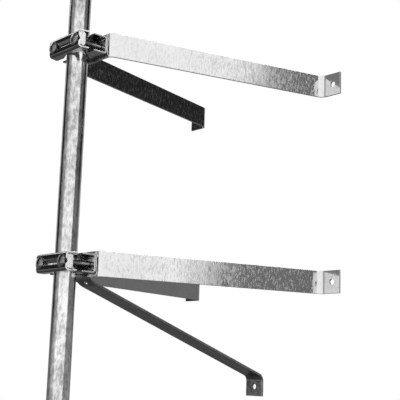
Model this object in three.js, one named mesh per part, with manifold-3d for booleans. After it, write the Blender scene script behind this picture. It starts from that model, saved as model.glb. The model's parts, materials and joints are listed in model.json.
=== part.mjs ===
// Two-piece stand-off bracket that clamps a round mast to a wall.
//
// Units are millimetres and +Z is up. The wall is the plane Y = 0 and lies towards +Y, so the
// mast stands outdoors at negative Y. Right (+X) and left (-X) are seen facing the wall.
// The origin is on the back face of the strut's foot, between its hole and its lower edge.

import * as THREE from 'three';
import { mergeVertices } from 'three/addons/utils/BufferGeometryUtils.js';
import Module from 'manifold-3d';

const wasm = await Module();
wasm.setup();

// ---- Driving dimensions ----

const CLEARANCE = 0.3;          // gap left between pieces that touch

const MAST_RADIUS = 16.7;       // 1 inch nominal pipe, 33.4 mm outside
const MAST_WALL = 2.6;
const MAST_BOTTOM = -90;
const MAST_TOP = 670;
const STANDOFF = 406.4;         // wall to mast axis, 16 inches

const LOWER_HEIGHT = 183;       // centre of the lower bracket
const BRACKET_SPACING = 336;    // centre to centre

const STRAP_WIDTH = 38.1;       // 1 1/2 x 1/8 inch flat bar
const STRAP_THICKNESS = 3.2;
const STRAP_CORNER_X = 49;      // where web and arm meet, before the bend is rounded
const ARM_FOOT_X = 148;         // where arm and wall tab meet
const TAB_LENGTH = 40;
const TAB_HOLE_FROM_TIP = 16;
const WALL_HOLE_RADIUS = 4.75;
const STRAP_BEND = 9.6;         // centre-line bend radii
const TAB_BEND = 13;

const INNER_JAW_LENGTH = 84;    // channel that backs the mast
const INNER_JAW_HEIGHT = 28;
const INNER_JAW_DEPTH = 23.5;
const OUTER_JAW_LENGTH = 78;    // pressed pan that closes over the mast, measured at its web
const OUTER_JAW_HEIGHT = 28;
const OUTER_JAW_DEPTH = 17;
const JAW_THICKNESS = 2.5;
const JAW_BEND = 3.6;
const INNER_WEB_GAP = 5.3;      // mast to the inner jaw's web, room for the strut bolt's head
const OUTER_WEB_GAP = 6.8;      // mast to the outer jaw's web
const INNER_NOTCH_ANGLE = 45;   // degrees between a notch flank and the Y axis
const OUTER_NOTCH_ANGLE = 68;
const GROOVE_DEPTH = 3;         // stiffening groove along the outer jaw
const GROOVE_HALF_WIDTH = 5;
const END_TAB_DEPTH = 11;       // folded ends of the outer jaw
const END_TAB_HALF_HEIGHT = 11.5;
const END_TAB_CHAMFER = 3.5;
const END_FLARE = 14;           // degrees by which the outer jaw's ends open towards the mast

const CLAMP_BOLT_X = 28.5;
const CLAMP_BOLT = { radius: 3.97, length: 76.2, headRadius: 9.1, headHeight: 4.2, neck: 4 };
const CLAMP_NUT = { flats: 12.7, height: 6.7 };
const CLAMP_WASHER = { radius: 8.7, thickness: 1.6 };

const STRUT_THICKNESS = 4;
const STRUT_BOLT_Z = 3;         // above the lower bracket's centre
const STRUT_BOLT = { radius: 3.17, length: 25.4, headRadius: 7.1, headHeight: 3.6, neck: 3 };
const STRUT_NUT = { flats: 11.1, height: 5.6 };
const STRUT_WASHER = { radius: 7.9, thickness: 1.6 };
const STRUT_TOP_Z = 17;         // top edge of the strut, above the lower bracket's centre
const STRUT_UPPER_CORNER_Z = -22;
const STRUT_LOWER_CORNER_Z = -155;
const STRUT_UPPER_BEND = 24;
const STRUT_FOOT_BEND = 12;
const STRUT_FOOT_EDGE = -6;     // lower edge of the foot, from the origin
const STRUT_FOOT_HOLE_Z = 10;
const STRUT_SPARE_HOLE_RADIUS = 4;
const STRUT_SPARE_HOLE_TURN = 52;   // degrees round the upper bend

const CUT = 60;                 // reach of a cutting tool past the sheet that it cuts
const SEGMENTS = 32;

// ---- Derived stations, as distances along Y from the mast axis ----

const INNER_WEB_FRONT = MAST_RADIUS + INNER_WEB_GAP;
const STRAP_FRONT = INNER_WEB_FRONT + JAW_THICKNESS + CLEARANCE;
const STRAP_BACK = STRAP_FRONT + STRAP_THICKNESS;
const OUTER_WEB_FRONT = -MAST_RADIUS - OUTER_WEB_GAP - JAW_THICKNESS;
const STRUT_FRONT = STRAP_BACK + CLEARANCE;

const CLAMP_HOLE = CLAMP_BOLT.radius + CLEARANCE + 0.1;
const STRUT_HOLE = STRUT_BOLT.radius + CLEARANCE + 0.1;

// ---- Materials ----

const galvanised = (color, roughness) =>
  new THREE.MeshStandardMaterial({ color, roughness, metalness: 0.85 });
const FINISH = {
  mast: galvanised(0xb9bdbf, 0.45),
  strap: galvanised(0xc9cccd, 0.35),
  jaw: galvanised(0x6e7275, 0.3),
  strut: galvanised(0x8d9193, 0.45),
  fastener: galvanised(0xd4d6d6, 0.3),
};

// ---- Solid tools ----

function toSolid(geometry) {
  const bare = geometry.clone();
  bare.deleteAttribute('normal');
  bare.deleteAttribute('uv');
  const merged = mergeVertices(bare, 1e-4);
  const index = merged.index.array;
  const triangles = [];
  for (let i = 0; i < index.length; i += 3) {
    const [a, b, c] = index.subarray(i, i + 3);
    if (a !== b && b !== c && c !== a) triangles.push(a, b, c);
  }
  return new wasm.Manifold(new wasm.Mesh({
    numProp: 3,
    vertProperties: Float32Array.from(merged.attributes.position.array),
    triVerts: Uint32Array.from(triangles),
  }));
}

function toGeometry(solid) {
  const mesh = solid.getMesh();
  const geometry = new THREE.BufferGeometry();
  geometry.setAttribute('position', new THREE.BufferAttribute(mesh.vertProperties, 3));
  geometry.setIndex(new THREE.BufferAttribute(mesh.triVerts, 1));
  geometry.computeVertexNormals();
  return geometry;
}

function cutAway(geometry, tools) {
  const solid = tools.reduce((body, tool) => body.subtract(toSolid(tool)), toSolid(geometry));
  return toGeometry(solid);
}

function joined(geometries) {
  const [first, ...rest] = geometries.map(toSolid);
  return toGeometry(rest.reduce((body, other) => body.add(other), first));
}

// ---- Shape tools ----

const AXIS = {
  x: new THREE.Vector3(1, 0, 0),
  y: new THREE.Vector3(0, 1, 0),
  z: new THREE.Vector3(0, 0, 1),
};

// An outline drawn in Y and Z, extruded along X and centred on X = 0.
function extrudeAlongX(shape, length) {
  const geometry = new THREE.ExtrudeGeometry(shape, { depth: length, bevelEnabled: false });
  geometry.translate(0, 0, -length / 2);
  return geometry.applyMatrix4(new THREE.Matrix4().makeBasis(AXIS.y, AXIS.z, AXIS.x));
}

// An outline drawn in X and Y, extruded along Z and centred on Z = 0.
function extrudeAlongZ(shape, height) {
  const geometry = new THREE.ExtrudeGeometry(shape, { depth: height, bevelEnabled: false });
  return geometry.translate(0, 0, -height / 2);
}

// An outline drawn in Z and X, extruded from Y = 0 towards +Y.
function extrudeAlongY(shape, length) {
  const geometry = new THREE.ExtrudeGeometry(shape, { depth: length, bevelEnabled: false });
  return geometry.applyMatrix4(new THREE.Matrix4().makeBasis(AXIS.z, AXIS.x, AXIS.y));
}

function polygon(points) {
  return new THREE.Shape(points.map(([a, b]) => new THREE.Vector2(a, b)));
}

// The outline of a sheet that runs through the corners, with each inner corner bent round
// to its centre-line radius.
function bentSheet(corners, radii, thickness) {
  const points = corners.map(([a, b]) => new THREE.Vector2(a, b));
  const direction = (i) => points[i + 1].clone().sub(points[i]).normalize();
  const stations = [{ at: points[0], along: direction(0) }];
  for (let i = 1; i < points.length - 1; i += 1) {
    const into = direction(i - 1);
    const out = direction(i);
    const turn = Math.atan2(into.cross(out), into.dot(out));
    const side = Math.sign(turn);
    const radius = radii[i - 1];
    const start = points[i].clone().addScaledVector(into, -radius * Math.tan(Math.abs(turn) / 2));
    const toCentre = new THREE.Vector2(-into.y, into.x).multiplyScalar(side * radius);
    const centre = start.clone().add(toCentre);
    const steps = Math.max(2, Math.ceil(Math.abs(turn) / (Math.PI / 14)));
    for (let step = 0; step <= steps; step += 1) {
      const angle = (turn * step) / steps;
      const origin = new THREE.Vector2(0, 0);
      stations.push({
        at: centre.clone().sub(toCentre.clone().rotateAround(origin, angle)),
        along: into.clone().rotateAround(origin, angle),
      });
    }
  }
  stations.push({ at: points.at(-1), along: direction(points.length - 2) });
  const offset = (distance) => stations.map(({ at, along }) =>
    new THREE.Vector2(at.x - along.y * distance, at.y + along.x * distance));
  return new THREE.Shape([...offset(-thickness / 2), ...offset(thickness / 2).reverse()]);
}

// A round bar along Y, centred on the given place.
function barAlongY(radius, length, x, y, z) {
  return new THREE.CylinderGeometry(radius, radius, length, SEGMENTS).translate(x, y, z);
}

function boxAt(size, x, y, z) {
  return new THREE.BoxGeometry(...size).translate(x, y, z);
}

// Slants both ends of a piece, so that it grows longer with distance from the plane Y = base.
function flareEnds(geometry, end, base) {
  const slope = Math.tan(THREE.MathUtils.degToRad(END_FLARE));
  const places = geometry.attributes.position;
  for (let i = 0; i < places.count; i += 1) {
    const x = places.getX(i);
    if (Math.abs(x) > end) places.setX(i, x + Math.sign(x) * slope * (places.getY(i) - base));
  }
  return geometry;
}

// The notch that seats the mast in a jaw's flanges: flanks tangent to the mast, opening
// towards `facing` along Y and cut off flat at `floor`.
function mastNotch(angle, facing, floor) {
  const flank = THREE.MathUtils.degToRad(angle);
  const apex = (MAST_RADIUS + CLEARANCE) / Math.sin(flank);
  const halfWidth = (y) => (apex - y) * Math.tan(flank);
  const deep = Math.min(apex, floor);
  const corners = [
    [-halfWidth(-CUT), CUT], [-halfWidth(deep), -deep],
    [halfWidth(deep), -deep], [halfWidth(-CUT), CUT],
  ];
  const outline = deep === apex ? corners.filter((_, i) => i !== 2) : corners;
  const geometry = extrudeAlongZ(polygon(outline), CUT);
  return facing > 0 ? geometry : geometry.rotateZ(Math.PI);
}

// ---- Pieces, each drawn about its bracket's centre with the mast axis at X = Y = 0 ----

function strapGeometry() {
  const web = STRAP_FRONT + STRAP_THICKNESS / 2;
  const wall = STANDOFF - STRAP_THICKNESS / 2;
  const tip = ARM_FOOT_X + TAB_LENGTH;
  const outline = bentSheet(
    [[tip, wall], [ARM_FOOT_X, wall], [STRAP_CORNER_X, web],
      [-STRAP_CORNER_X, web], [-ARM_FOOT_X, wall], [-tip, wall]],
    [TAB_BEND, STRAP_BEND, STRAP_BEND, TAB_BEND],
    STRAP_THICKNESS,
  );
  const holes = [-1, 1].flatMap((side) => [
    barAlongY(CLAMP_HOLE, CUT / 4, side * CLAMP_BOLT_X, web, 0),
    barAlongY(WALL_HOLE_RADIUS, CUT / 4, side * (tip - TAB_HOLE_FROM_TIP), wall, 0),
  ]);
  return { outline, holes, web };
}

function makeStrap(withStrutHole) {
  const { outline, holes, web } = strapGeometry();
  if (withStrutHole) holes.push(barAlongY(STRUT_HOLE, CUT / 4, 0, web, STRUT_BOLT_Z));
  return cutAway(extrudeAlongZ(outline, STRAP_WIDTH), holes);
}

function makeInnerJaw(withStrutHole) {
  const web = INNER_WEB_FRONT + JAW_THICKNESS / 2;
  const edge = INNER_WEB_FRONT + JAW_THICKNESS - INNER_JAW_DEPTH;
  const flange = (INNER_JAW_HEIGHT - JAW_THICKNESS) / 2;
  const section = bentSheet(
    [[edge, flange], [web, flange], [web, -flange], [edge, -flange]],
    [JAW_BEND, JAW_BEND],
    JAW_THICKNESS,
  );
  const tools = [
    mastNotch(INNER_NOTCH_ANGLE, -1, INNER_WEB_FRONT),
    ...[-1, 1].map((side) => barAlongY(CLAMP_HOLE, CUT / 4, side * CLAMP_BOLT_X, web, 0)),
  ];
  if (withStrutHole) {
    const square = 2 * STRUT_HOLE;
    tools.push(boxAt([square, CUT / 4, square], 0, web, STRUT_BOLT_Z));
  }
  return cutAway(extrudeAlongX(section, INNER_JAW_LENGTH), tools);
}

function makeOuterJaw() {
  const web = OUTER_WEB_FRONT + JAW_THICKNESS / 2;
  const groove = web + GROOVE_DEPTH;
  const edge = OUTER_WEB_FRONT + OUTER_JAW_DEPTH;
  const flange = (OUTER_JAW_HEIGHT - JAW_THICKNESS) / 2;
  const section = bentSheet(
    [[edge, flange], [web, flange], [web, GROOVE_HALF_WIDTH], [groove, 0],
      [web, -GROOVE_HALF_WIDTH], [web, -flange], [edge, -flange]],
    [JAW_BEND, JAW_THICKNESS, JAW_THICKNESS, JAW_THICKNESS, JAW_BEND],
    JAW_THICKNESS,
  );
  const tip = OUTER_WEB_FRONT + END_TAB_DEPTH;
  const high = END_TAB_HALF_HEIGHT;
  const endTab = polygon([
    [web, -high + JAW_BEND / 2], [web + JAW_BEND, -high], [tip - END_TAB_CHAMFER, -high],
    [tip, -high + END_TAB_CHAMFER], [tip, high - END_TAB_CHAMFER],
    [tip - END_TAB_CHAMFER, high], [web + JAW_BEND, high], [web, high - JAW_BEND / 2],
    [web, GROOVE_HALF_WIDTH], [groove, 0], [web, -GROOVE_HALF_WIDTH],
  ]);
  const endX = (OUTER_JAW_LENGTH - JAW_THICKNESS) / 2;
  const pan = joined([
    extrudeAlongX(section, OUTER_JAW_LENGTH),
    ...[-endX, endX].map((x) => extrudeAlongX(endTab, JAW_THICKNESS).translate(x, 0, 0)),
  ]);
  const flared = flareEnds(pan, endX - JAW_THICKNESS, OUTER_WEB_FRONT);
  const square = 2 * CLAMP_HOLE;
  return cutAway(flared, [
    mastNotch(OUTER_NOTCH_ANGLE, 1, Infinity),
    ...[-1, 1].map((side) => boxAt([square, CUT / 3, square], side * CLAMP_BOLT_X, web, 0)),
  ]);
}

// A round-headed bolt with a square neck: underside of the head at Y = 0, shank towards +Y.
function makeCarriageBolt({ radius, length, headRadius, headHeight, neck }) {
  const rim = headHeight * 0.2;
  const crown = 6;
  const dome = Array.from({ length: crown + 1 }, (_, i) => {
    const angle = (i / crown) * (Math.PI / 2);
    return [headRadius * Math.sin(angle), -rim - (headHeight - rim) * Math.cos(angle)];
  });
  dome[0][0] = 0;
  const chamfer = radius * 0.2;
  const profile = [
    ...dome, [headRadius, 0], [radius, 0],
    [radius, length - chamfer], [radius - chamfer, length], [0, length],
  ].map(([r, y]) => new THREE.Vector2(r, y));
  const side = 2 * radius;
  return joined([
    new THREE.LatheGeometry(profile, SEGMENTS),
    boxAt([side, neck, side], 0, neck / 2, 0),
  ]);
}

function roundHole(radius) {
  return new THREE.Path().absarc(0, 0, radius, 0, 2 * Math.PI, true);
}

function makeNut({ flats, height }, holeRadius) {
  const corner = flats / Math.sqrt(3);
  const hexagon = polygon(Array.from({ length: 6 }, (_, i) => {
    const angle = (i * Math.PI) / 3;
    return [corner * Math.cos(angle), corner * Math.sin(angle)];
  }));
  hexagon.holes.push(roundHole(holeRadius));
  return extrudeAlongY(hexagon, height);
}

function makeWasher({ radius, thickness }, holeRadius) {
  const ring = new THREE.Shape().absarc(0, 0, radius, 0, 2 * Math.PI, false);
  ring.holes.push(roundHole(holeRadius));
  return extrudeAlongY(ring, thickness);
}

function makeMast() {
  const inner = MAST_RADIUS - MAST_WALL;
  const profile = [
    [inner, MAST_BOTTOM], [MAST_RADIUS, MAST_BOTTOM], [MAST_RADIUS, MAST_TOP],
    [inner, MAST_TOP], [inner, MAST_BOTTOM],
  ].map(([r, z]) => new THREE.Vector2(r, z));
  return new THREE.LatheGeometry(profile, 2 * SEGMENTS).rotateX(Math.PI / 2);
}

// The strut is drawn in the wall's frame: Y from the wall, Z from the origin.
function makeStrut() {
  const top = STRUT_FRONT + STRUT_THICKNESS / 2 - STANDOFF;
  const wall = -STRUT_THICKNESS / 2;
  const upper = LOWER_HEIGHT + STRUT_UPPER_CORNER_Z;
  const lower = LOWER_HEIGHT + STRUT_LOWER_CORNER_Z;
  const outline = bentSheet(
    [[top, LOWER_HEIGHT + STRUT_TOP_Z], [top, upper], [wall, lower], [wall, STRUT_FOOT_EDGE]],
    [STRUT_UPPER_BEND, STRUT_FOOT_BEND],
    STRUT_THICKNESS,
  );
  const slope = Math.atan2(wall - top, upper - lower);
  const bendTop = upper + STRUT_UPPER_BEND * Math.tan(slope / 2);
  const turn = THREE.MathUtils.degToRad(STRUT_SPARE_HOLE_TURN);
  const spare = barAlongY(STRUT_SPARE_HOLE_RADIUS, CUT / 4, 0, 0, 0)
    .rotateX(turn)
    .translate(
      0,
      top + STRUT_UPPER_BEND * (1 - Math.cos(turn)),
      bendTop - STRUT_UPPER_BEND * Math.sin(turn),
    );
  return cutAway(extrudeAlongX(outline, STRAP_WIDTH), [
    barAlongY(STRUT_HOLE, CUT / 4, 0, top, LOWER_HEIGHT + STRUT_BOLT_Z),
    barAlongY(WALL_HOLE_RADIUS, CUT / 4, 0, wall, STRUT_FOOT_HOLE_Z),
    spare,
  ]);
}

// ---- Assembly ----

const stabilizer = new THREE.Group();

function place(parent, name, geometry, material, x = 0, y = 0, z = 0) {
  const mesh = new THREE.Mesh(geometry, material.clone());
  mesh.name = name;
  mesh.position.set(x, y, z);
  parent.add(mesh);
}

// Stacks a bolt, washer and nut along Y at one place.
function placeFastener(parent, names, bolt, washer, nut, stack, x, z) {
  const hole = bolt.radius + CLEARANCE;
  const washerY = stack.back + CLEARANCE;
  const nutY = washerY + washer.thickness + CLEARANCE;
  place(parent, names.bolt, makeCarriageBolt(bolt), FINISH.fastener, x, stack.head, z);
  place(parent, names.washer, makeWasher(washer, hole), FINISH.fastener, x, washerY, z);
  place(parent, names.nut, makeNut(nut, hole), FINISH.fastener, x, nutY, z);
}

function placeBracket(prefix, height, withStrut) {
  const bracket = new THREE.Group();
  bracket.position.set(0, -STANDOFF, height);
  stabilizer.add(bracket);
  place(bracket, `${prefix}_strap`, makeStrap(withStrut), FINISH.strap);
  place(bracket, `${prefix}_inner_jaw`, makeInnerJaw(withStrut), FINISH.jaw);
  place(bracket, `${prefix}_outer_jaw`, makeOuterJaw(), FINISH.jaw);
  const stack = { head: OUTER_WEB_FRONT - CLEARANCE, back: STRAP_BACK };
  for (const [side, x] of [['right', CLAMP_BOLT_X], ['left', -CLAMP_BOLT_X]]) {
    const names = {
      bolt: `${prefix}_clamp_bolt_${side}`,
      washer: `${prefix}_clamp_washer_${side}`,
      nut: `${prefix}_clamp_nut_${side}`,
    };
    placeFastener(bracket, names, CLAMP_BOLT, CLAMP_WASHER, CLAMP_NUT, stack, x, 0);
  }
  return bracket;
}

placeBracket('upper', LOWER_HEIGHT + BRACKET_SPACING, false);
const lowerBracket = placeBracket('lower', LOWER_HEIGHT, true);

place(stabilizer, 'strut', makeStrut(), FINISH.strut);
placeFastener(
  lowerBracket,
  { bolt: 'strut_bolt', washer: 'strut_washer', nut: 'strut_nut' },
  STRUT_BOLT,
  STRUT_WASHER,
  STRUT_NUT,
  { head: INNER_WEB_FRONT - CLEARANCE, back: STRUT_FRONT + STRUT_THICKNESS },
  0,
  STRUT_BOLT_Z,
);

place(stabilizer, 'mast', makeMast(), FINISH.mast, 0, -STANDOFF, 0);

export default stabilizer;
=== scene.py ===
import json
import math

import bmesh
import bpy
from mathutils import Matrix, Vector

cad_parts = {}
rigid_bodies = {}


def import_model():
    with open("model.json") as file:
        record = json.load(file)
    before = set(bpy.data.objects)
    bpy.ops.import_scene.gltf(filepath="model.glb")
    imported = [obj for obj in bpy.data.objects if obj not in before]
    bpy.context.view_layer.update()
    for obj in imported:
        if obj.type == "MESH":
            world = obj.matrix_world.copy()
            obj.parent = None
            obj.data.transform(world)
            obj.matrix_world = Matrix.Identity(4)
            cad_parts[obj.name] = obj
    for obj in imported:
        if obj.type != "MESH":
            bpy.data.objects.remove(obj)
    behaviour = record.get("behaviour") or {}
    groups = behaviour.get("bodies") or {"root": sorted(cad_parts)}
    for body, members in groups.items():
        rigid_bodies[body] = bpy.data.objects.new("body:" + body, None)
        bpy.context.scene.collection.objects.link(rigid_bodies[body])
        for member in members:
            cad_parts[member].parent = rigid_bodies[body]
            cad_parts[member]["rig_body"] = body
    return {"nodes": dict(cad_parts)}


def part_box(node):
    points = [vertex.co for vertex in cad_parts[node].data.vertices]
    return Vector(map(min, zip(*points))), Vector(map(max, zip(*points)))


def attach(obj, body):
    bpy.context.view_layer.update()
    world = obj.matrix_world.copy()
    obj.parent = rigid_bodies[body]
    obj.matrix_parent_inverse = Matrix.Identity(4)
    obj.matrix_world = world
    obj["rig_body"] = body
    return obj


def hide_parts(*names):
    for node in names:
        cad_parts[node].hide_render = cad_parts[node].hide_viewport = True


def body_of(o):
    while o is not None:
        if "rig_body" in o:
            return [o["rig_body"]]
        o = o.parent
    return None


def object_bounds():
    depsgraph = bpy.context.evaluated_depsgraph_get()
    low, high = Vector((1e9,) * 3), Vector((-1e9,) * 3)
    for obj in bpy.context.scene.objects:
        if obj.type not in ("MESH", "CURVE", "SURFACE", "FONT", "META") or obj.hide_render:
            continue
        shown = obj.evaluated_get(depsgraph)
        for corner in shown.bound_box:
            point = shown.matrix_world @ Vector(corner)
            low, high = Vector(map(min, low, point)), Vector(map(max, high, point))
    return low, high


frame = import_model()
cad_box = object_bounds()

# A stand-off bracket set that holds a galvanised mast off a wall, in metres. The wall is the
# plane Y = 0, and each detailed piece below stands for the CAD node of the same name.

MM = 0.001

# ---- Sizes that the frame's boxes do not say ----

STRAP_THICKNESS = 3.2 * MM
STRAP_BEND = 9.6 * MM           # centre-line bend radii
TAB_BEND = 13 * MM
STRAP_CORNER_X = 49 * MM        # where web and arm meet, before the bend is rounded
TAB_LENGTH = 40 * MM
TAB_HOLE_FROM_TIP = 16 * MM
WALL_HOLE_RADIUS = 4.75 * MM
CLAMP_HOLE_RADIUS = 4.4 * MM
STRUT_HOLE_RADIUS = 3.6 * MM

JAW_THICKNESS = 2.5 * MM
JAW_BEND = 3.6 * MM
INNER_NOTCH_ANGLE = 45          # degrees between a notch flank and the Y axis
OUTER_NOTCH_ANGLE = 68
NOTCH_GAP = 0.3 * MM
GROOVE_DEPTH = 3 * MM
GROOVE_HALF_WIDTH = 5 * MM
END_TAB_DEPTH = 11 * MM
END_TAB_HALF_HEIGHT = 11.5 * MM
END_TAB_CHAMFER = 3.5 * MM
END_FLARE = math.tan(math.radians(14))     # the outer jaw's ends open towards the mast

STRUT_THICKNESS = 4 * MM
STRUT_UPPER_CORNER = -22 * MM   # heights from the lower bracket's centre
STRUT_LOWER_CORNER = -155 * MM
STRUT_UPPER_BEND = 24 * MM
STRUT_FOOT_BEND = 12 * MM
FOOT_HOLE_HEIGHT = 10 * MM
SPARE_HOLE_RADIUS = 4 * MM
SPARE_HOLE_TURN = math.radians(52)

MAST_WALL = 2.6 * MM
CLAMP_PITCH = 25.4 / 18 * MM    # 5/16-18 and 1/4-20 threads
STRUT_PITCH = 25.4 / 20 * MM
CLAMP_THREAD = 26 * MM
STRUT_THREAD = 15 * MM
CLAMP_SHANK = 3.97 * MM         # radii
STRUT_SHANK = 3.17 * MM
CLAMP_HEAD = 4.2 * MM           # heights
STRUT_HEAD = 3.6 * MM
HEAD_CROWN = 2.3 * MM           # of the height, above the rim
HEAD_EDGE = 0.35 * MM
THREAD_DEPTH = 0.61             # of the pitch
SQUARE_NECK = 4 * MM
NECK_SPREAD = 0.05 * MM         # of the neck's half-width past the shank
NECK_SINK = 0.2 * MM            # of the neck into the head
NUT_FACE_INSET = 0.1 * MM
BORE_GAP = 0.2 * MM
WASHER_GAP = 0.3 * MM

SHEET_EDGE = 0.45 * MM          # rounding left on sheared edges by the zinc
JAW_EDGE = 0.5 * MM
SHARP_ANGLE = 35                # degrees
CUTTER_LENGTH = 60 * MM
FINE = 96                       # segments round a large and a small circle
COARSE = 48


def middle(node):
    low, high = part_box(node)
    return (low + high) / 2


def extent(node):
    low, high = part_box(node)
    return high - low


MAST_AXIS = middle("mast")
MAST_RADIUS = extent("mast").x / 2


# ---- Mesh tools ----

def to_object(bm, name):
    """Turns a bmesh into a linked object and frees the bmesh."""
    bmesh.ops.recalc_face_normals(bm, faces=bm.faces)
    mesh = bpy.data.meshes.new(name)
    bm.to_mesh(mesh)
    bm.free()
    piece = bpy.data.objects.new(name, mesh)
    bpy.context.scene.collection.objects.link(piece)
    return piece


def settle(piece):
    """Applies every modifier to the piece's own mesh."""
    graph = bpy.context.evaluated_depsgraph_get()
    mesh = bpy.data.meshes.new_from_object(piece.evaluated_get(graph))
    piece.modifiers.clear()
    piece.data = mesh
    mesh.name = piece.name


def combine(piece, tools, operation):
    """Joins the tools to the piece, cuts them out of it, or keeps what they share with it."""
    for tool in tools:
        modifier = piece.modifiers.new("combine", "BOOLEAN")
        modifier.object = tool
        modifier.operation = operation
        modifier.solver = "EXACT"
    settle(piece)
    for tool in tools:
        bpy.data.objects.remove(tool)
    return piece


def merge_flats(piece, limit=0.5):
    """Joins neighbouring faces that lie in one plane, to within the limit in degrees."""
    bm = bmesh.new()
    bm.from_mesh(piece.data)
    bmesh.ops.dissolve_limit(bm, angle_limit=math.radians(limit), verts=bm.verts, edges=bm.edges)
    bm.to_mesh(piece.data)
    bm.free()


def weld(piece, distance=0.01 * MM):
    """Closes up the slivers that a cut leaves along an edge."""
    bm = bmesh.new()
    bm.from_mesh(piece.data)
    bmesh.ops.remove_doubles(bm, verts=bm.verts, dist=distance)
    bmesh.ops.dissolve_degenerate(bm, edges=bm.edges, dist=distance)
    bm.to_mesh(piece.data)
    bm.free()


def soften(piece, width):
    """Rounds every sharp edge, and shades flat faces flat."""
    merge_flats(piece)
    piece.data.shade_smooth()
    bevel = piece.modifiers.new("edge", "BEVEL")
    bevel.width = width
    bevel.segments = 3
    bevel.limit_method = "ANGLE"
    bevel.angle_limit = math.radians(SHARP_ANGLE)
    bevel.use_clamp_overlap = False
    shading = piece.modifiers.new("shading", "WEIGHTED_NORMAL")
    shading.mode = "FACE_AREA"
    shading.weight = 100
    return piece


def smooth_by_angle(piece, limit):
    """Smooth shading that stops at edges sharper than the limit in degrees."""
    piece.data.shade_smooth()
    piece.data.set_sharp_from_angle(angle=math.radians(limit))
    return piece


def bent_path(corners, radii, step=math.radians(4.5)):
    """Places and directions along a line through the corners, with its inner corners rounded."""
    points = [Vector(corner) for corner in corners]
    ways = [(b - a).normalized() for a, b in zip(points, points[1:])]
    stations = [(points[0], ways[0])]
    for corner, into, out, radius in zip(points[1:], ways, ways[1:], radii):
        turn = math.atan2(into.x * out.y - into.y * out.x, into.dot(out))
        start = corner - into * radius * math.tan(abs(turn) / 2)
        outward = Vector((into.y, -into.x)) * math.copysign(radius, turn)
        steps = max(2, math.ceil(abs(turn) / step))
        for i in range(steps + 1):
            spin = Matrix.Rotation(turn * i / steps, 2)
            stations.append((start - outward + spin @ outward, spin @ into))
    stations.append((points[-1], ways[-1]))
    return stations


def sheet(name, stations, thickness, width, place):
    """A strip of sheet that follows the stations. place(u, v, w) gives a point of the part."""
    bm = bmesh.new()
    rings = []
    for at, along in stations:
        across = Vector((-along.y, along.x)) * thickness / 2
        near, far = at - across, at + across
        corners = [(near, -width), (far, -width), (far, width), (near, width)]
        rings.append([bm.verts.new(place(p.x, p.y, w / 2)) for p, w in corners])
    for ring, after in zip(rings, rings[1:]):
        for i in range(4):
            j = (i + 1) % 4
            bm.faces.new((ring[i], ring[j], after[j], after[i]))
    bm.faces.new(rings[0])
    bm.faces.new(rings[-1])
    return to_object(bm, name)


def prism(name, outline, depth, place):
    """A flat outline given a depth. place(u, v, w) gives a point of the part."""
    bm = bmesh.new()
    caps = [[bm.verts.new(place(u, v, w)) for u, v in outline] for w in (-depth / 2, depth / 2)]
    for cap in caps:
        bm.faces.new(cap)
    for i in range(len(outline)):
        j = (i + 1) % len(outline)
        bm.faces.new((caps[0][i], caps[0][j], caps[1][j], caps[1][i]))
    return to_object(bm, name)


def lathe(name, profile, base, closed=False, segments=COARSE):
    """Turns (radius, height) points round the Y axis through base. A closed profile is a ring's."""
    bm = bmesh.new()
    rings = []
    for radius, height in profile:
        if radius == 0:
            rings.append([bm.verts.new(base + Vector((0, height, 0)))] * segments)
            continue
        turns = [2 * math.pi * i / segments for i in range(segments)]
        rings.append([
            bm.verts.new(base + Vector((radius * math.cos(a), height, radius * math.sin(a)))) for a in turns
        ])
    pairs = list(zip(rings, rings[1:]))
    if closed:
        pairs.append((rings[-1], rings[0]))
    for ring, after in pairs:
        for i in range(segments):
            j = (i + 1) % segments
            corners = dict.fromkeys((ring[i], ring[j], after[j], after[i]))
            bm.faces.new(list(corners))
    return to_object(bm, name)


def round_cutter(radius, at, turn=0):
    """A round cutting tool along Y through a point, turned about X."""
    bm = bmesh.new()
    lie = Matrix.Translation(at) @ Matrix.Rotation(turn + math.pi / 2, 4, "X")
    bmesh.ops.create_cone(
        bm, cap_ends=True, segments=COARSE, radius1=radius, radius2=radius,
        depth=CUTTER_LENGTH / 3, matrix=lie,
    )
    return to_object(bm, "cutter")


def square_cutter(half, at, depth=CUTTER_LENGTH / 3):
    bm = bmesh.new()
    size = Matrix.Diagonal((2 * half, depth, 2 * half, 1))
    bmesh.ops.create_cube(bm, size=1, matrix=Matrix.Translation(at) @ size)
    return to_object(bm, "cutter")


def arc(centre, radius, start, end, steps):
    """Points of an arc, by angles in degrees."""
    angles = [math.radians(start + (end - start) * i / steps) for i in range(steps + 1)]
    return [(centre[0] + radius * math.cos(a), centre[1] + radius * math.sin(a)) for a in angles]


# ---- Straps: the V of flat bar, its web across the clamp and its tabs on the wall ----

def make_strap(prefix, with_strut_hole):
    node = f"{prefix}_strap"
    low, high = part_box(node)
    height = middle(node).z
    web = low.y + STRAP_THICKNESS / 2
    wall = high.y - STRAP_THICKNESS / 2
    tip = high.x
    foot = tip - TAB_LENGTH
    path = bent_path(
        [(tip, wall), (foot, wall), (STRAP_CORNER_X, web),
         (-STRAP_CORNER_X, web), (-foot, wall), (-tip, wall)],
        [TAB_BEND, STRAP_BEND, STRAP_BEND, TAB_BEND],
    )
    strap = sheet(node, path, STRAP_THICKNESS, high.z - low.z, lambda u, v, w: (u, v, height + w))
    holes = []
    for side in ("right", "left"):
        bolt = middle(f"{prefix}_clamp_bolt_{side}")
        holes.append(round_cutter(CLAMP_HOLE_RADIUS, (bolt.x, web, height)))
        hole_x = math.copysign(tip - TAB_HOLE_FROM_TIP, bolt.x)
        holes.append(round_cutter(WALL_HOLE_RADIUS, (hole_x, wall, height)))
    if with_strut_hole:
        holes.append(round_cutter(STRUT_HOLE_RADIUS, (0, web, middle("strut_bolt").z)))
    return soften(combine(strap, holes, "DIFFERENCE"), SHEET_EDGE)


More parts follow.
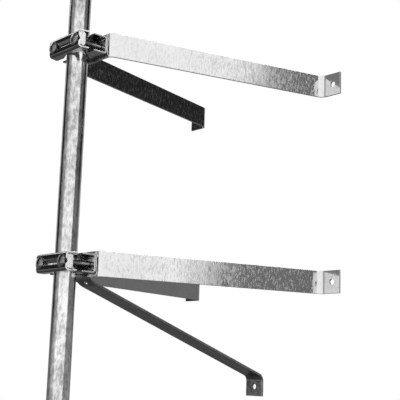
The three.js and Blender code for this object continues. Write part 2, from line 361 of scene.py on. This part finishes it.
# ---- Jaws: the pressed channel behind the mast and the pressed pan in front of it ----

def notch_cutter(angle, centre, facing, floor):
    """The wedge that seats the mast in a jaw's flanges, opening towards facing along Y."""
    flank = math.radians(angle)
    apex = (MAST_RADIUS + NOTCH_GAP) / math.sin(flank)
    deep = min(apex, floor)
    wide = (apex + CUTTER_LENGTH) * math.tan(flank)
    narrow = max((apex - deep) * math.tan(flank), 0.01 * MM)
    outline = [(-wide, CUTTER_LENGTH), (-narrow, -deep), (narrow, -deep), (wide, CUTTER_LENGTH)]
    return prism(
        "cutter", outline, CUTTER_LENGTH,
        lambda u, v, w: (centre.x + facing * u, centre.y + facing * v, centre.z + w),
    )


def make_inner_jaw(prefix, with_strut_hole):
    node = f"{prefix}_inner_jaw"
    low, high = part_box(node)
    centre = Vector((MAST_AXIS.x, MAST_AXIS.y, middle(node).z))
    web = high.y - JAW_THICKNESS / 2
    flange = (high.z - low.z - JAW_THICKNESS) / 2
    path = bent_path(
        [(low.y, flange), (web, flange), (web, -flange), (low.y, -flange)],
        [JAW_BEND, JAW_BEND],
    )
    jaw = sheet(node, path, JAW_THICKNESS, high.x - low.x, lambda u, v, w: (w, u, centre.z + v))
    floor = high.y - JAW_THICKNESS - centre.y
    cutters = [notch_cutter(INNER_NOTCH_ANGLE, centre, -1, floor)]
    for side in ("right", "left"):
        bolt = middle(f"{prefix}_clamp_bolt_{side}")
        cutters.append(round_cutter(CLAMP_HOLE_RADIUS, (bolt.x, web, centre.z)))
    if with_strut_hole:
        strut_hole = (0, web, middle("strut_bolt").z)
        cutters.append(square_cutter(STRUT_HOLE_RADIUS, strut_hole, CUTTER_LENGTH / 4))
    return soften(combine(jaw, cutters, "DIFFERENCE"), JAW_EDGE)


def make_outer_jaw(prefix):
    node = f"{prefix}_outer_jaw"
    low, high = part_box(node)
    centre = Vector((MAST_AXIS.x, MAST_AXIS.y, middle(node).z))
    web = low.y + JAW_THICKNESS / 2
    groove = web + GROOVE_DEPTH
    flange = (high.z - low.z - JAW_THICKNESS) / 2
    path = bent_path(
        [(high.y, flange), (web, flange), (web, GROOVE_HALF_WIDTH), (groove, 0),
         (web, -GROOVE_HALF_WIDTH), (web, -flange), (high.y, -flange)],
        [JAW_BEND, JAW_THICKNESS, JAW_THICKNESS, JAW_THICKNESS, JAW_BEND],
    )
    web_end = high.x - END_FLARE * (high.y - low.y)
    jaw = sheet(node, path, JAW_THICKNESS, 2 * web_end, lambda u, v, w: (w, u, centre.z + v))
    tip = low.y + END_TAB_DEPTH
    tall = END_TAB_HALF_HEIGHT
    outline = [
        (web, JAW_BEND / 2 - tall), (web + JAW_BEND, -tall), (tip - END_TAB_CHAMFER, -tall),
        (tip, END_TAB_CHAMFER - tall), (tip, tall - END_TAB_CHAMFER), (tip - END_TAB_CHAMFER, tall),
        (web + JAW_BEND, tall), (web, tall - JAW_BEND / 2),
        (web, GROOVE_HALF_WIDTH), (groove, 0), (web, -GROOVE_HALF_WIDTH),
    ]
    end = web_end - JAW_THICKNESS / 2
    tabs = [
        prism("tab", outline, JAW_THICKNESS, lambda u, v, w, x=x: (x + w, u, centre.z + v))
        for x in (end, -end)
    ]
    combine(jaw, tabs, "UNION")
    for vertex in jaw.data.vertices:
        if abs(vertex.co.x) > end - JAW_THICKNESS:
            vertex.co.x += math.copysign(END_FLARE * (vertex.co.y - low.y), vertex.co.x)
    cutters = [notch_cutter(OUTER_NOTCH_ANGLE, centre, 1, math.inf)]
    for side in ("right", "left"):
        bolt = middle(f"{prefix}_clamp_bolt_{side}")
        cutters.append(square_cutter(CLAMP_HOLE_RADIUS, (bolt.x, web, centre.z)))
    return soften(combine(jaw, cutters, "DIFFERENCE"), JAW_EDGE)


# ---- Strut: the flat bar that props the lower bracket from the wall below ----

def make_strut():
    low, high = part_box("strut")
    lower_centre = middle("lower_strap").z
    top = low.y + STRUT_THICKNESS / 2
    wall = high.y - STRUT_THICKNESS / 2
    upper = lower_centre + STRUT_UPPER_CORNER
    lower = lower_centre + STRUT_LOWER_CORNER
    path = bent_path(
        [(top, high.z), (top, upper), (wall, lower), (wall, low.z)],
        [STRUT_UPPER_BEND, STRUT_FOOT_BEND],
    )
    strut = sheet("strut", path, STRUT_THICKNESS, high.x - low.x, lambda u, v, w: (w, u, v))
    slope = math.atan2(wall - top, upper - lower)
    bend_top = upper + STRUT_UPPER_BEND * math.tan(slope / 2)
    spare = (
        0,
        top + STRUT_UPPER_BEND * (1 - math.cos(SPARE_HOLE_TURN)),
        bend_top - STRUT_UPPER_BEND * math.sin(SPARE_HOLE_TURN),
    )
    holes = [
        round_cutter(STRUT_HOLE_RADIUS, (0, top, middle("strut_bolt").z)),
        round_cutter(WALL_HOLE_RADIUS, (0, wall, FOOT_HOLE_HEIGHT)),
        round_cutter(SPARE_HOLE_RADIUS, spare, SPARE_HOLE_TURN),
    ]
    return soften(combine(strut, holes, "DIFFERENCE"), SHEET_EDGE)


# ---- Mast: a length of galvanised pipe ----

def make_mast():
    low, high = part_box("mast")
    inner = MAST_RADIUS - MAST_WALL
    rim = 0.4 * MM
    profile = (
        arc((MAST_RADIUS - rim, low.z + rim), rim, -90, 0, 4)
        + arc((MAST_RADIUS - rim, high.z - rim), rim, 0, 90, 4)
        + arc((inner + rim, high.z - rim), rim, 90, 180, 4)
        + arc((inner + rim, low.z + rim), rim, 180, 270, 4)
    )
    mast = lathe("mast", profile, Vector((0, 0, 0)), closed=True, segments=FINE)
    upright = Matrix.Translation((MAST_AXIS.x, MAST_AXIS.y, 0)) @ Matrix.Rotation(math.pi / 2, 4, "X")
    mast.data.transform(upright)
    return smooth_by_angle(mast, 50)


# ---- Fasteners ----

def thread_rows(radius, pitch, start, end):
    """Rows of (radius, height) round a screw thread, each row following the helix one turn up."""
    root = radius - THREAD_DEPTH * pitch
    form = [(0, root), (0.25, root), (0.5625, radius), (0.6875, radius)]
    turns = math.ceil((end - start) / pitch) + 2
    segments = COARSE
    rows = []
    for turn in range(turns):
        for share, form_radius in form:
            row = []
            for i in range(segments):
                raw = start + pitch * (turn + share + i / segments - 1)
                height = min(max(raw, start), end)
                fade = min((height - start) / pitch, 1)
                shaped = radius + (form_radius - radius) * fade
                row.append((min(shaped, root + end - height), height))
            rows.append(row)
    return rows, len(form)


def shank_radius(node):
    return CLAMP_SHANK if "clamp" in node else STRUT_SHANK


def dome_profile(radius, head_height):
    """(radius, height) points down a bolt head, from beside its top to its shank side."""
    inset = radius - HEAD_EDGE
    sphere = (inset * inset + HEAD_CROWN * HEAD_CROWN) / (2 * HEAD_CROWN)
    reach = math.degrees(math.asin(inset / sphere))
    dome = arc((0, sphere - head_height), sphere, -90, reach - 90, 12)
    shoulder = arc((inset, HEAD_CROWN + HEAD_EDGE - head_height), HEAD_EDGE, reach - 90, 0, 3)
    under = arc((inset, -HEAD_EDGE), HEAD_EDGE, 0, 90, 3)
    return dome[1:] + shoulder[1:] + under


def make_bolt(node):
    """A round-headed bolt with a square neck: its head towards -Y, its thread towards +Y."""
    low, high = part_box(node)
    centre = middle(node)
    clamp = "clamp" in node
    radius = shank_radius(node)
    head_height = CLAMP_HEAD if clamp else STRUT_HEAD
    pitch = CLAMP_PITCH if clamp else STRUT_PITCH
    under = low.y + head_height
    head = dome_profile((high.x - low.x) / 2, head_height) + [(radius, 0)]
    length = high.y - under
    start = length - (CLAMP_THREAD if clamp else STRUT_THREAD)
    bm = bmesh.new()
    rings = []
    turns = [2 * math.pi * i / COARSE for i in range(COARSE)]

    def ring_of(points):
        made = []
        for (r, h), a in zip(points, turns):
            at = (centre.x + r * math.cos(a), under + h, centre.z + r * math.sin(a))
            made.append(bm.verts.new(at))
        return made

    for point in head:
        rings.append(ring_of([point] * COARSE))
    tip = bm.verts.new((centre.x, low.y, centre.z))
    for i in range(COARSE):
        j = (i + 1) % COARSE
        bm.faces.new((tip, rings[0][j], rings[0][i]))
    for ring, after in zip(rings, rings[1:]):
        for i in range(COARSE):
            j = (i + 1) % COARSE
            bm.faces.new((ring[i], ring[j], after[j], after[i]))
    rows, form = thread_rows(radius, pitch, start, length)
    thread = [ring_of(row) for row in rows]
    first = thread[0]
    for i in range(COARSE):
        j = (i + 1) % COARSE
        bm.faces.new((rings[-1][i], rings[-1][j], first[j], first[i]))
    last = len(thread) - 1
    for k in range(last):
        for i in range(COARSE - 1):
            bm.faces.new((thread[k][i], thread[k][i + 1], thread[k + 1][i + 1], thread[k + 1][i]))
        over, next_over = min(k + form, last), min(k + 1 + form, last)
        if over != next_over:
            bm.faces.new((thread[k][-1], thread[over][0], thread[next_over][0], thread[k + 1][-1]))
    bmesh.ops.remove_doubles(bm, verts=bm.verts, dist=1e-7)
    bmesh.ops.dissolve_degenerate(bm, edges=bm.edges, dist=1e-7)
    bmesh.ops.holes_fill(bm, edges=[e for e in bm.edges if e.is_boundary], sides=0)
    bolt = to_object(bm, node)
    neck_middle = (centre.x, under + SQUARE_NECK / 2 - NECK_SINK, centre.z)
    neck = square_cutter(radius + NECK_SPREAD, neck_middle, SQUARE_NECK)
    combine(bolt, [neck], "UNION")
    weld(bolt)
    return smooth_by_angle(bolt, 32)


def make_nut(node):
    """A hexagon nut with its corners chamfered on both faces."""
    low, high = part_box(node)
    centre = Vector((middle(node).x, low.y, middle(node).z))
    height = high.y - low.y
    corner = (high.z - low.z) / 2
    flat = corner * math.cos(math.radians(30))
    bore = shank_radius(node) + BORE_GAP
    face = flat - NUT_FACE_INSET
    chamfer = (corner - flat) * math.tan(math.radians(30)) + 0.2 * MM
    turns = [math.radians(60 * i) for i in range(6)]
    hexagon = [(corner * math.sin(a), corner * math.cos(a)) for a in turns]
    nut = prism(
        node, hexagon, height, lambda u, v, w: (centre.x + u, centre.y + height / 2 + w, centre.z + v)
    )
    margin = 0.5 * MM
    turned = lathe(
        "turned",
        [(0, -margin), (flat - margin, -margin), (face, 0), (corner + margin, chamfer * 2),
         (corner + margin, height - chamfer * 2), (face, height), (flat - margin, height + margin),
         (0, height + margin)],
        centre,
        segments=FINE,
    )
    combine(nut, [turned], "INTERSECT")
    sink = 0.5 * MM
    bored = lathe(
        "bored",
        [(0, -margin), (bore + sink + margin, -margin), (bore, sink), (bore, height - sink),
         (bore + sink + margin, height + margin), (0, height + margin)],
        centre,
    )
    combine(nut, [bored], "DIFFERENCE")
    weld(nut, 0.03 * MM)
    return smooth_by_angle(nut, 25)


def make_washer(node):
    """A stamped washer, rolled over at its outer edge."""
    low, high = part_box(node)
    centre = Vector((middle(node).x, low.y, middle(node).z))
    radius = (high.x - low.x) / 2
    height = high.y - low.y
    bore = shank_radius(node) + WASHER_GAP
    edge = 0.25 * MM
    rolled = 0.6 * MM
    profile = (
        arc((radius - edge, edge), edge, -90, 0, 3)
        + arc((radius - rolled, height - rolled), rolled, 0, 90, 5)
        + arc((bore + edge, height - edge), edge, 90, 180, 3)
        + arc((bore + edge, edge), edge, 180, 270, 3)
    )
    return smooth_by_angle(lathe(node, profile, centre, closed=True), 40)


# ---- Materials ----

CLOUD_SCALE = 24                # features to a metre
BLOOM_SCALE = 350
GRAIN_SCALE = 1200
PIT_SCALE = 130


class Nodes:
    """Adds shader nodes to a tree, and links any socket value that is itself a socket."""

    def __init__(self, tree):
        self.tree = tree
        tree.nodes.clear()

    def add(self, kind, inputs=(), **settings):
        node = self.tree.nodes.new(kind)
        for name, value in settings.items():
            setattr(node, name, value)
        for name, value in dict(inputs).items():
            if isinstance(value, bpy.types.NodeSocket):
                self.tree.links.new(value, node.inputs[name])
            else:
                node.inputs[name].default_value = value
        return node

    def math(self, operation, a, b=0.0, c=0.0):
        return self.add("ShaderNodeMath", {0: a, 1: b, 2: c}, operation=operation).outputs[0]

    def noise(self, vector, scale, detail, roughness):
        inputs = {"Vector": vector, "Scale": scale, "Detail": detail, "Roughness": roughness}
        return self.add("ShaderNodeTexNoise", inputs).outputs["Fac"]

    def range(self, value, from_low, from_high, to_low, to_high, smooth=False):
        node = self.add(
            "ShaderNodeMapRange",
            {"Value": value, "From Min": from_low, "From Max": from_high,
             "To Min": to_low, "To Max": to_high},
            interpolation_type="SMOOTHSTEP" if smooth else "LINEAR",
        )
        return node.outputs["Result"]


def grey(level):
    return (level, level, level, 1)


def galvanised(
    name, dark, light, rough,
    ripple=3 * MM, run=1.0, relief=0.1 * MM, spangle=5 * MM, tilt=0.03,
):
    """Hot-dip zinc: a rippled skin, crystals with their own tone and lean, cloudy patches and pits.

    dark and light bound the tone and rough the roughness. ripple is the width of a ripple and relief
    its height, and run says how many times longer than wide it is, along Z. spangle is the width of
    a crystal and tilt its lean.
    """
    material = bpy.data.materials.new(name)
    material.use_nodes = True
    n = Nodes(material.node_tree)
    place = n.add("ShaderNodeTexCoord").outputs["Object"]
    long = n.add("ShaderNodeMapping", {"Vector": place, "Scale": (1, 1, 1 / run)}).outputs["Vector"]
    crystal = n.add("ShaderNodeTexVoronoi", {"Vector": long, "Scale": 1 / spangle})
    tone = n.add("ShaderNodeSeparateColor", {"Color": crystal.outputs["Color"]}).outputs["Red"]
    cloud = n.noise(place, CLOUD_SCALE, 4.0, 0.6)
    patchy = n.range(cloud, 0.35, 0.65, 0.0, 1.0, smooth=True)
    waves = n.noise(long, 0.6 / ripple, 3.0, 0.55)
    streak = n.range(waves, 0.35, 0.65, 0.0, 1.0, smooth=True)
    grain = n.noise(long, GRAIN_SCALE, 3.0, 0.7)
    pits = n.add("ShaderNodeTexVoronoi", {"Vector": place, "Scale": PIT_SCALE})
    pitted = n.range(pits.outputs["Distance"], 0.05, 0.16, 0.6, 1.0, smooth=True)
    mixed = n.math("ADD", n.math("MULTIPLY", patchy, 0.35), n.math("MULTIPLY", streak, 0.4))
    mixed = n.math("MULTIPLY", n.math("ADD", mixed, n.math("MULTIPLY", tone, 0.25)), pitted)
    ramp = n.add("ShaderNodeValToRGB", {"Fac": mixed})
    ramp.color_ramp.elements[0].position = 0.1
    ramp.color_ramp.elements[0].color = grey(dark)
    ramp.color_ramp.elements[1].position = 0.8
    ramp.color_ramp.elements[1].color = grey(light)
    bloom = n.noise(long, BLOOM_SCALE, 3.0, 0.7)
    dull = n.range(bloom, 0.45, 0.65, 0.0, 1.0, smooth=True)
    worn = n.math("MULTIPLY_ADD", dull, 0.8, n.math("MULTIPLY", mixed, -0.2))
    roughness = n.range(worn, -0.2, 0.8, *rough)
    own = crystal.outputs["Color"]
    lean = n.add("ShaderNodeVectorMath", {0: own, 1: (0.5, 0.5, 0.5)}, operation="SUBTRACT")
    lean = n.add("ShaderNodeVectorMath", {0: lean.outputs[0], "Scale": tilt}, operation="SCALE")
    normal = n.add("ShaderNodeNewGeometry").outputs["Normal"]
    leant = n.add("ShaderNodeVectorMath", {0: normal, 1: lean.outputs[0]}, operation="ADD")
    leant = n.add("ShaderNodeVectorMath", {0: leant.outputs[0]}, operation="NORMALIZE").outputs[0]
    heights = n.math("ADD", n.math("MULTIPLY", grain, 0.06), waves)
    raised = n.add(
        "ShaderNodeBump", {"Strength": 1.0, "Distance": relief, "Height": heights, "Normal": leant}
    )
    shader = n.add(
        "ShaderNodeBsdfPrincipled",
        {"Base Color": ramp.outputs["Color"], "Metallic": 1.0, "Roughness": roughness,
         "Normal": raised.outputs["Normal"]},
    )
    n.add("ShaderNodeOutputMaterial", {"Surface": shader.outputs[0]})
    return material


STRAP_FINISH = galvanised(
    "galvanised_strap", 0.69, 0.77, (0.03, 0.3), ripple=2 * MM, run=2.5, relief=0.03 * MM, tilt=0.008
)
MAST_FINISH = galvanised(
    "galvanised_mast", 0.35, 0.82, (0.1, 0.22), ripple=2 * MM, run=2.5, relief=0.05 * MM, tilt=0.02
)
STRUT_FINISH = galvanised("galvanised_strut", 0.32, 0.5, (0.15, 0.28), relief=0.05 * MM)
JAW_FINISH = galvanised("galvanised_jaw", 0.4, 0.6, (0.1, 0.2), relief=0.02 * MM, tilt=0.015)
# Rougher zinc for sheared edges and the jaws' end faces. Its light tone is a painted highlight on faces
# that look along one axis.
SHEARED_HIGHLIGHT_FINISH = galvanised("sheared_edge_painted_highlight", 0.75, 0.95, (0.35, 0.5), relief=0.05 * MM)
FASTENER_FINISH = galvanised(
    "zinc_plated", 0.35, 0.5, (0.1, 0.2), relief=0.01 * MM, spangle=3 * MM, tilt=0.01
)


def finish(piece, node, material):
    """Gives a piece its finish, and sets it in its CAD node's place."""
    piece.data.materials.clear()
    piece.data.materials.append(material)
    body = body_of(frame["nodes"][node])[0]
    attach(piece, body)
    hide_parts(node)


def sheared_and_highlight_faces(piece, faces_along):
    """Gives the faces that look along an axis the sheared finish: a rougher zinc whose light tone is a
    painted highlight on those faces.
    """
    piece.data.materials.append(SHEARED_HIGHLIGHT_FINISH)
    for polygon in piece.data.polygons:
        if abs(polygon.normal.dot(faces_along)) > 0.9:
            polygon.material_index = 1


# ---- The object ----

def rename(piece, node):
    """A detailed piece is named after its node."""
    piece.name = f"{node}_detail"
    piece.data.name = piece.name


def build():
    made = [
        ("mast", make_mast(), MAST_FINISH, "mast_pipe"),
        ("strut", make_strut(), STRUT_FINISH, "strut_bar"),
    ]
    for prefix in ("lower", "upper"):
        lower = prefix == "lower"
        made.append((f"{prefix}_strap", make_strap(prefix, lower), STRAP_FINISH, "strap_bar"))
        made.append((f"{prefix}_inner_jaw", make_inner_jaw(prefix, lower), JAW_FINISH, "pressed_jaw"))
        made.append((f"{prefix}_outer_jaw", make_outer_jaw(prefix), JAW_FINISH, "pressed_jaw"))
        for side in ("right", "left"):
            bolt = f"{prefix}_clamp_bolt_{side}"
            washer = f"{prefix}_clamp_washer_{side}"
            nut = f"{prefix}_clamp_nut_{side}"
            made.append((bolt, make_bolt(bolt), FASTENER_FINISH, "fastener"))
            made.append((washer, make_washer(washer), FASTENER_FINISH, "fastener"))
            made.append((nut, make_nut(nut), FASTENER_FINISH, "fastener"))
    made.append(("strut_bolt", make_bolt("strut_bolt"), FASTENER_FINISH, "fastener"))
    made.append(("strut_washer", make_washer("strut_washer"), FASTENER_FINISH, "fastener"))
    made.append(("strut_nut", make_nut("strut_nut"), FASTENER_FINISH, "fastener"))
    for node, piece, material, slot in made:
        rename(piece, node)
        finish(piece, node, material)
        # The straps' faces along Z and the jaws' faces along X take the sheared finish, whose light tone is
        # a painted highlight.
        if node.endswith("strap"):
            sheared_and_highlight_faces(piece, Vector((0, 0, 1)))
        if node.endswith("jaw"):
            sheared_and_highlight_faces(piece, Vector((1, 0, 0)))


build()

# ---- Camera ----

CAMERA_TURN = math.radians(48.1)        # to the right of square-on, about the mast
CAMERA_PITCH = math.radians(10.54)      # looking up
CAMERA_ROLL = math.radians(1.8)
CAMERA_LENS = 83.5
CAMERA_FROM_MAST = Vector((1.1507, -0.7689, -0.1523))   # from the mast at the lower bracket's height

forward = Vector((
    -math.sin(CAMERA_TURN) * math.cos(CAMERA_PITCH),
    math.cos(CAMERA_TURN) * math.cos(CAMERA_PITCH),
    math.sin(CAMERA_PITCH),
))
level = Vector((math.cos(CAMERA_TURN), math.sin(CAMERA_TURN), 0))
upward = level.cross(forward)
rolled_right = level * math.cos(CAMERA_ROLL) + upward * math.sin(CAMERA_ROLL)
rolled_up = upward * math.cos(CAMERA_ROLL) - level * math.sin(CAMERA_ROLL)

camera = bpy.data.objects.new("camera", bpy.data.cameras.new("camera"))
camera.data.lens = CAMERA_LENS
camera.data.sensor_width = 36
camera.data.clip_start = 0.05
camera.data.clip_end = 60
stand = Vector((MAST_AXIS.x, MAST_AXIS.y, middle("lower_strap").z)) + CAMERA_FROM_MAST
turned = Matrix((rolled_right, rolled_up, -forward)).transposed()
camera.matrix_world = Matrix.Translation(stand) @ turned.to_4x4()
bpy.context.scene.collection.objects.link(camera)
bpy.context.scene.camera = camera

# ---- Studio: a pale floor, two soft boxes and a room of plain walls ----

FLOOR_DROP = 0.06
FLOOR_RADIUS = 2.4
FRONT_WALL_START = -134                 # degrees round from +X towards +Y
FRONT_WALL_EDGE_LOW = (13.5, 6)         # the wall's right edge leans through these, in degrees
FRONT_WALL_EDGE_HIGH = (16.5, 18)       # round and up
SIDE_WALL_END = 56
SIDE_WALL_LEVEL = 0.16
LOW_WALL_LEVEL = 0.155
BACK_WALL_LEVEL = 0.5


def make_floor():
    """A round floor that turns from matt white to the room's own white at its rim."""
    bm = bmesh.new()
    bmesh.ops.create_circle(bm, cap_ends=True, segments=FINE, radius=FLOOR_RADIUS)
    floor = to_object(bm, "floor")
    floor.data.transform(Matrix.Translation((0, middle("mast").y / 2, cad_box[0].z - FLOOR_DROP)))
    material = bpy.data.materials.new("floor_white")
    material.use_nodes = True
    n = Nodes(material.node_tree)
    place = n.add("ShaderNodeTexCoord").outputs["Object"]
    reach = n.add("ShaderNodeVectorMath", {0: place}, operation="LENGTH").outputs["Value"]
    matt = n.add("ShaderNodeBsdfDiffuse", {"Color": grey(0.85)})
    glow = n.add("ShaderNodeEmission", {"Color": grey(1), "Strength": 1.0})
    share = n.range(reach, 0.3, FLOOR_RADIUS * 0.85, 0.35, 1.0, smooth=True)
    mixed = n.add("ShaderNodeMixShader", {0: share, 1: matt.outputs[0], 2: glow.outputs[0]})
    n.add("ShaderNodeOutputMaterial", {"Surface": mixed.outputs[0]})
    floor.data.materials.append(material)
    floor.visible_glossy = False
    floor.visible_diffuse = False


def direction(azimuth, elevation):
    """A unit vector by degrees round from +X towards +Y, and degrees up."""
    a, e = math.radians(azimuth), math.radians(elevation)
    return Vector((math.cos(a) * math.cos(e), math.sin(a) * math.cos(e), math.sin(e)))


def soft_box(name, azimuth, elevation, distance, width, height, power):
    target = (cad_box[0] + cad_box[1]) / 2
    away = direction(azimuth, elevation)
    light = bpy.data.lights.new(name, "AREA")
    light.shape = "RECTANGLE"
    light.size = width
    light.size_y = height
    light.energy = power
    lamp = bpy.data.objects.new(name, light)
    lamp.location = target + away * distance
    lamp.rotation_mode = "QUATERNION"
    lamp.rotation_quaternion = away.to_track_quat("Z", "Y")
    lamp.visible_camera = False
    bpy.context.scene.collection.objects.link(lamp)


def make_room():
    """White to look at. What the zinc mirrors is a broad bright wall in front, dim walls to the right
    of it, a pale wall behind, the pale floor and a soft ceiling light."""
    world = bpy.data.worlds.new("room")
    world.use_nodes = True
    bpy.context.scene.world = world
    n = Nodes(world.node_tree)
    look = n.add("ShaderNodeTexCoord").outputs["Generated"]

    def towards(way):
        return n.add("ShaderNodeVectorMath", {0: look, 1: way}, operation="DOT_PRODUCT").outputs["Value"]

    def side(way, soft=0.03):
        """1 on the side of a plane that way points to, and 0 on the other."""
        return n.range(towards(way), -soft, soft, 0.0, 1.0, smooth=True)

    def left_of(azimuth, soft=0.03):
        """1 in the half-circle that ends at an azimuth, and 0 beyond it."""
        return side(direction(azimuth - 90, 0), soft)

    def right_of(azimuth, soft=0.03):
        return side(direction(azimuth + 90, 0), soft)

    def folded(operation, *parts):
        total = parts[0]
        for part in parts[1:]:
            total = n.math(operation, total, part)
        return total

    height = towards(direction(0, 90))
    above_floor = n.range(height, -0.3, -0.12, 0.0, 1.0, smooth=True)
    under_ceiling = n.range(height, 0.5, 0.65, 1.0, 0.0)
    main_part = n.math("MULTIPLY", right_of(-90, 0.15), 0.7)
    left_part = n.math("MULTIPLY", right_of(-120, 0.15), 0.2)
    tone = folded("ADD", main_part, left_part, 0.2)
    leaning_edge = direction(*FRONT_WALL_EDGE_LOW).cross(direction(*FRONT_WALL_EDGE_HIGH))
    right_end = side(leaning_edge.normalized())
    front = folded("MULTIPLY", tone, above_floor, under_ceiling, right_end, right_of(FRONT_WALL_START))
    beside = folded("MULTIPLY", left_of(SIDE_WALL_END), right_of(-60), above_floor, SIDE_WALL_LEVEL)
    low_band = n.range(n.math("ABSOLUTE", height), 0.12, 0.26, LOW_WALL_LEVEL, 0.0, smooth=True)
    low = folded("MULTIPLY", right_of(24), left_of(100), low_band)
    above_horizon = n.range(height, -0.05, 0.05, 0.0, BACK_WALL_LEVEL)
    back = folded("MULTIPLY", right_of(94, 0.1), left_of(-165, 0.1), above_horizon)
    walls = folded("MAXIMUM", front, beside, low, back)
    below_horizon = n.range(height, -0.05, 0.0, 1.0, 0.0)
    floor = n.math("MULTIPLY", n.range(height, -0.55, -0.1, 0.04, 0.2), below_horizon)
    ceiling = n.range(height, 0.6, 0.95, 0.02, 0.5, smooth=True)
    strength = folded("ADD", walls, floor, ceiling)
    mirrored = n.add("ShaderNodeBackground", {"Color": grey(1), "Strength": strength})
    seen = n.add("ShaderNodeBackground", {"Color": grey(1), "Strength": 1.0})
    camera_ray = n.add("ShaderNodeLightPath").outputs["Is Camera Ray"]
    mixed = n.add("ShaderNodeMixShader", {0: camera_ray, 1: mirrored.outputs[0], 2: seen.outputs[0]})
    n.add("ShaderNodeOutputWorld", {"Surface": mixed.outputs[0]})


make_floor()
make_room()
soft_box("key_box", 34, 54, 3.0, 1.4, 1.2, 25)
soft_box("left_box", -163, 36, 3.0, 0.6, 0.6, 2)
bpy.context.scene.view_settings.view_transform = "Standard"
